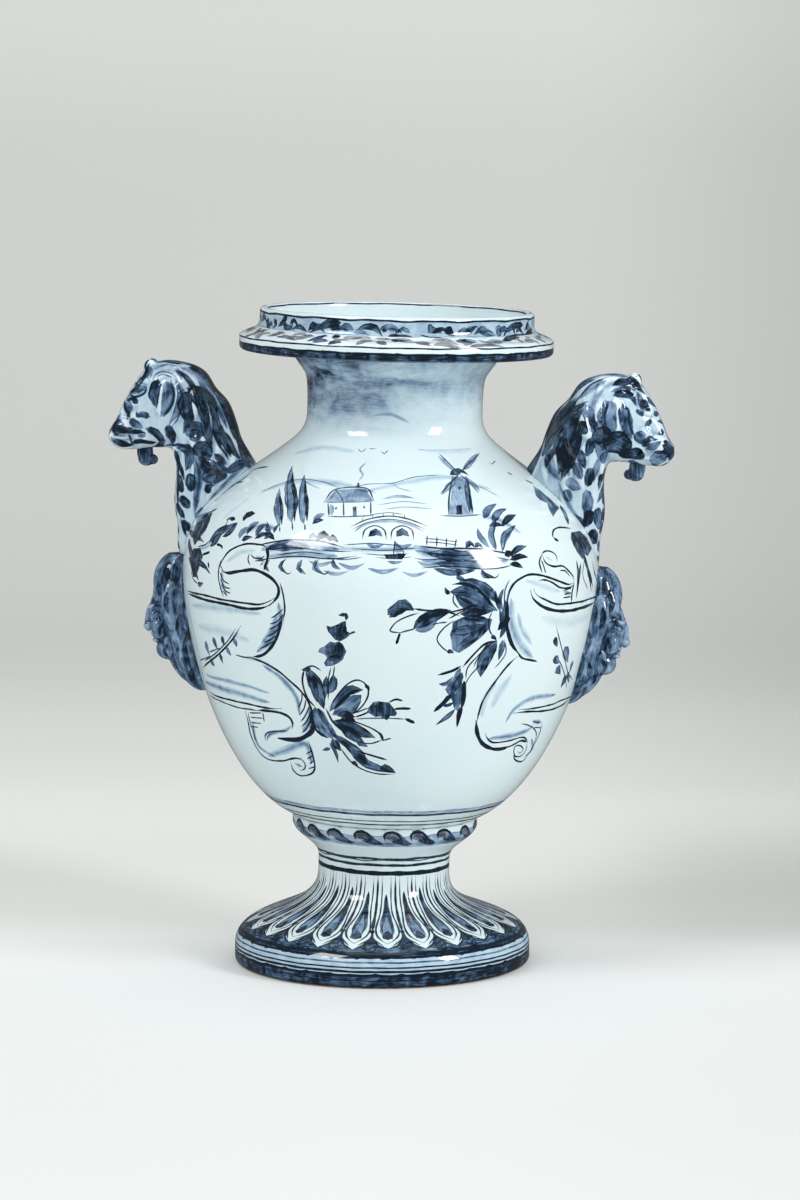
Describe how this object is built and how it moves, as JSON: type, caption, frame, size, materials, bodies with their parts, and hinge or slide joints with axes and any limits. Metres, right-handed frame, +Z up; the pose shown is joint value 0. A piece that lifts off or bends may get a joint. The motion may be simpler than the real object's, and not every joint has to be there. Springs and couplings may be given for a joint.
{
  "type": "two-handled vase",
  "caption": "Tall glazed earthenware vase on a spreading pedestal foot, with a flanged mouth, lion-head handles and bearded masks below them.",
  "frame": {"origin": "on the ground, under the middle of the outline; the foot's own axis is about 5 mm to -X of it", "axes": "+Z up, X through both handles, -Y towards the painted front"},
  "size_m": [0.3444, 0.2534, 0.4016],
  "materials": {
    "tin_glaze": "glossy pale tin glaze painted in cobalt",
    "band_glaze": "glossy tin glaze, closely painted in cobalt and grey brown",
    "cobalt_glaze": "glossy glaze, mottled cobalt over relief"
  },
  "bodies": {
    "root": {"foot": "tin_glaze", "stem_knop": "tin_glaze", "body": "tin_glaze", "neck": "tin_glaze", "mouth_flange": "band_glaze", "mouth_collar": "band_glaze", "lion_handle_left": "cobalt_glaze", "beard_curl_left": "cobalt_glaze", "mask_left": "cobalt_glaze", "lion_handle_right": "cobalt_glaze", "beard_curl_right": "cobalt_glaze", "mask_right": "cobalt_glaze"}
  },
  "joints": []
}
